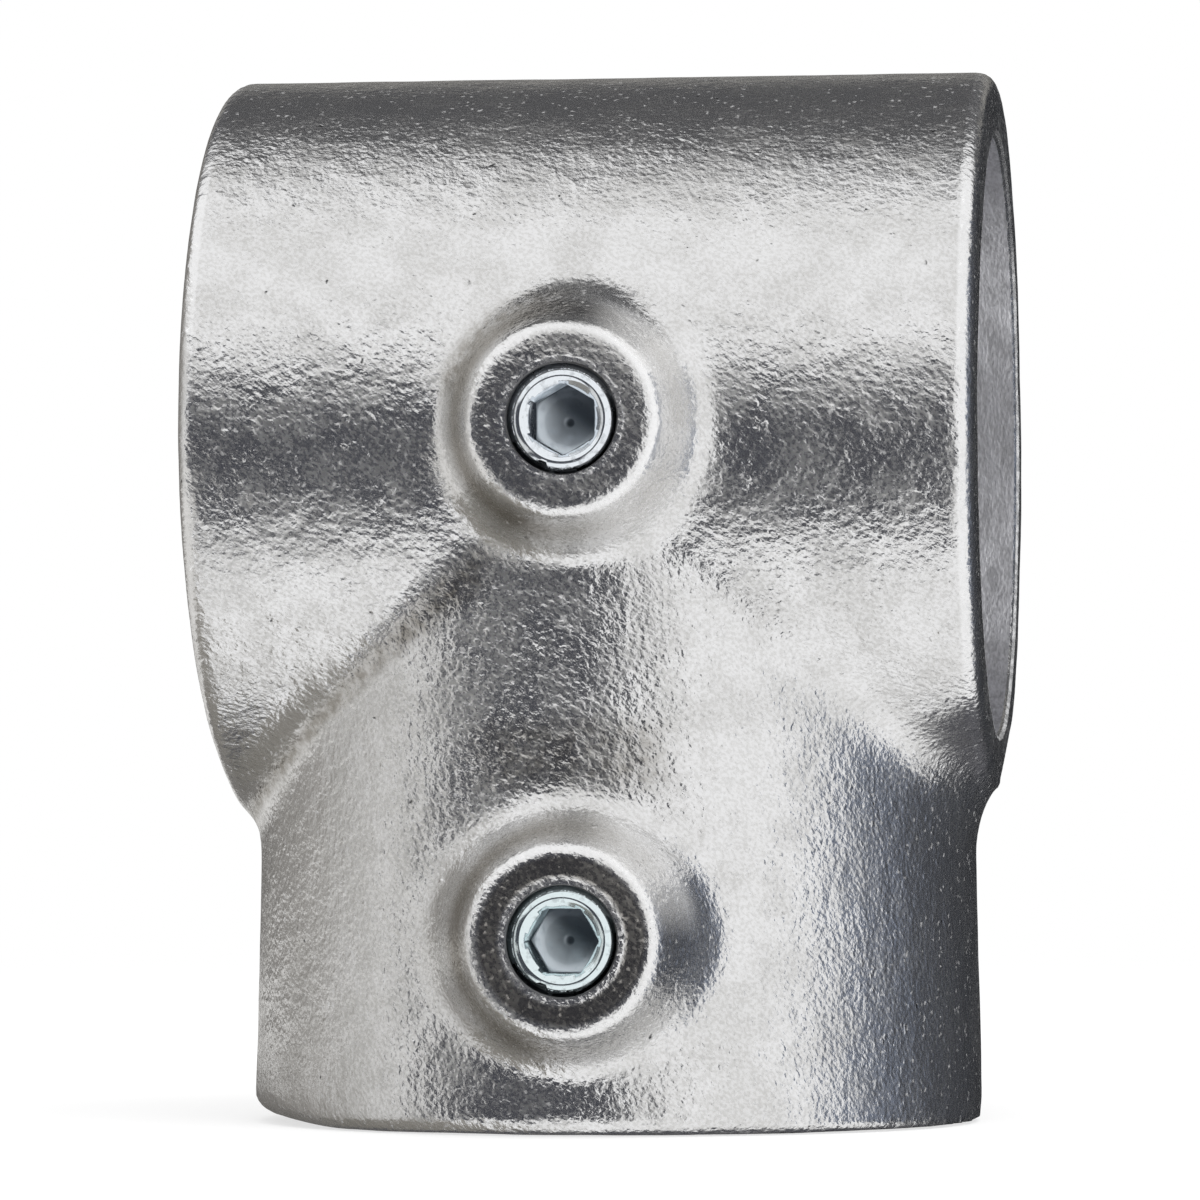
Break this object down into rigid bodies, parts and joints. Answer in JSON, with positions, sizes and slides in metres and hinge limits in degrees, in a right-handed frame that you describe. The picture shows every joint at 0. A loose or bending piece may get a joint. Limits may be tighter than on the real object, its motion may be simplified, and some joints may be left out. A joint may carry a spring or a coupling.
{
  "type": "tube clamp tee fitting",
  "caption": "Cast short tee that clamps a tube's end square to a through tube, with hexagon-socket set screws in flared bosses.",
  "frame": {"origin": "where the through socket's axis and the leg socket's axis cross, at the middle of the sleeve", "axes": "+X along the through sleeve, -Z down the leg to its mouth, -Y out through both bosses, so that the part stands on the leg's mouth"},
  "size_m": [0.0636, 0.0653, 0.0865],
  "materials": {
    "galvanised_iron": "hot-dip galvanised malleable iron, satin with a fine cast grain",
    "zinc_plated_steel": "bright zinc plate"
  },
  "bodies": {
    "casting": {"tee_body": "galvanised_iron"},
    "upper_screw": {"upper_set_screw": "zinc_plated_steel"},
    "lower_screw": {"lower_set_screw": "zinc_plated_steel"}
  },
  "joints": [
    {"name": "upper_screw_travel", "type": "slide", "parent": "casting", "child": "upper_screw", "axis": [0, 1, 0], "range_m": [-0.0045, 0.0015]},
    {"name": "lower_screw_travel", "type": "slide", "parent": "casting", "child": "lower_screw", "axis": [0, 1, 0], "range_m": [-0.0045, 0.0015]}
  ]
}
